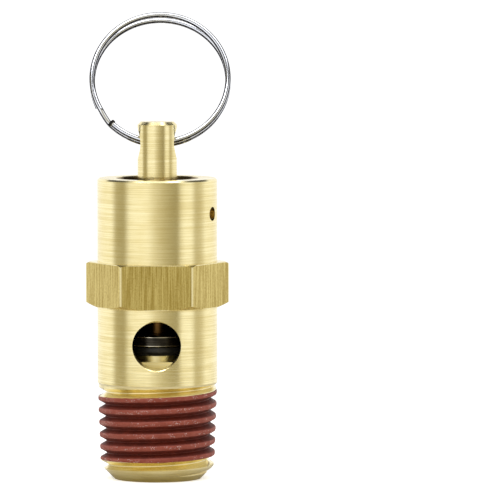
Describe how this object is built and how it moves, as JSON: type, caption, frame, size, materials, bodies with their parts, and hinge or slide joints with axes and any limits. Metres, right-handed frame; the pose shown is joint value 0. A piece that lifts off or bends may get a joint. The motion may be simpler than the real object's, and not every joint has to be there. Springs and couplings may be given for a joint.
{
  "type": "pull-ring pressure relief valve",
  "caption": "Brass pop-off relief valve with a tapered pipe thread coated in red sealant, a hexagon, a round spring housing with a side discharge hole, and a lifting stem with a split ring.",
  "frame": {"origin": "centre of the inlet face at the bottom of the pipe thread", "axes": "+Z from the inlet up to the lifting ring, -Y out through the front discharge hole, +X to the right"},
  "size_m": [0.0167, 0.0148, 0.0537],
  "materials": {
    "body_brass": "turned, satin",
    "plug_brass": "turned",
    "pin_brass": "as cut",
    "stem_brass": "turned, satin",
    "sealant": "dried, slightly rough",
    "spring_steel": "drawn wire",
    "holder_steel": "dark, turned",
    "seat_rubber": "moulded",
    "ring_steel": "bright plated"
  },
  "bodies": {
    "housing": {"valve_body": "body_brass", "thread_sealant": "sealant", "adjusting_plug": "plug_brass", "lock_pin": "pin_brass", "spring_washer": "spring_steel", "pressure_spring": "spring_steel"},
    "piston": {"disc_holder": "holder_steel", "seat_disc": "seat_rubber"},
    "stem": {"lift_stem": "stem_brass", "stem_clip": "spring_steel"},
    "ring": {"split_ring": "ring_steel"}
  },
  "joints": [
    {"name": "lift", "type": "slide", "parent": "housing", "child": "piston", "axis": [0, 0, 1], "range_m": [0, 0.0015], "stiffness_N_per_m": 4300, "deforming": ["pressure_spring"]},
    {"name": "stem_swivel", "type": "hinge", "parent": "piston", "child": "stem", "pos_m": [0, 0, 0.0388], "axis": [0, 0, 1], "continuous": true},
    {"name": "ring_swing", "type": "hinge", "parent": "stem", "child": "ring", "pos_m": [0, 0, 0.0388], "axis": [1, 0, 0], "range_deg": [-115, 165]}
  ]
}
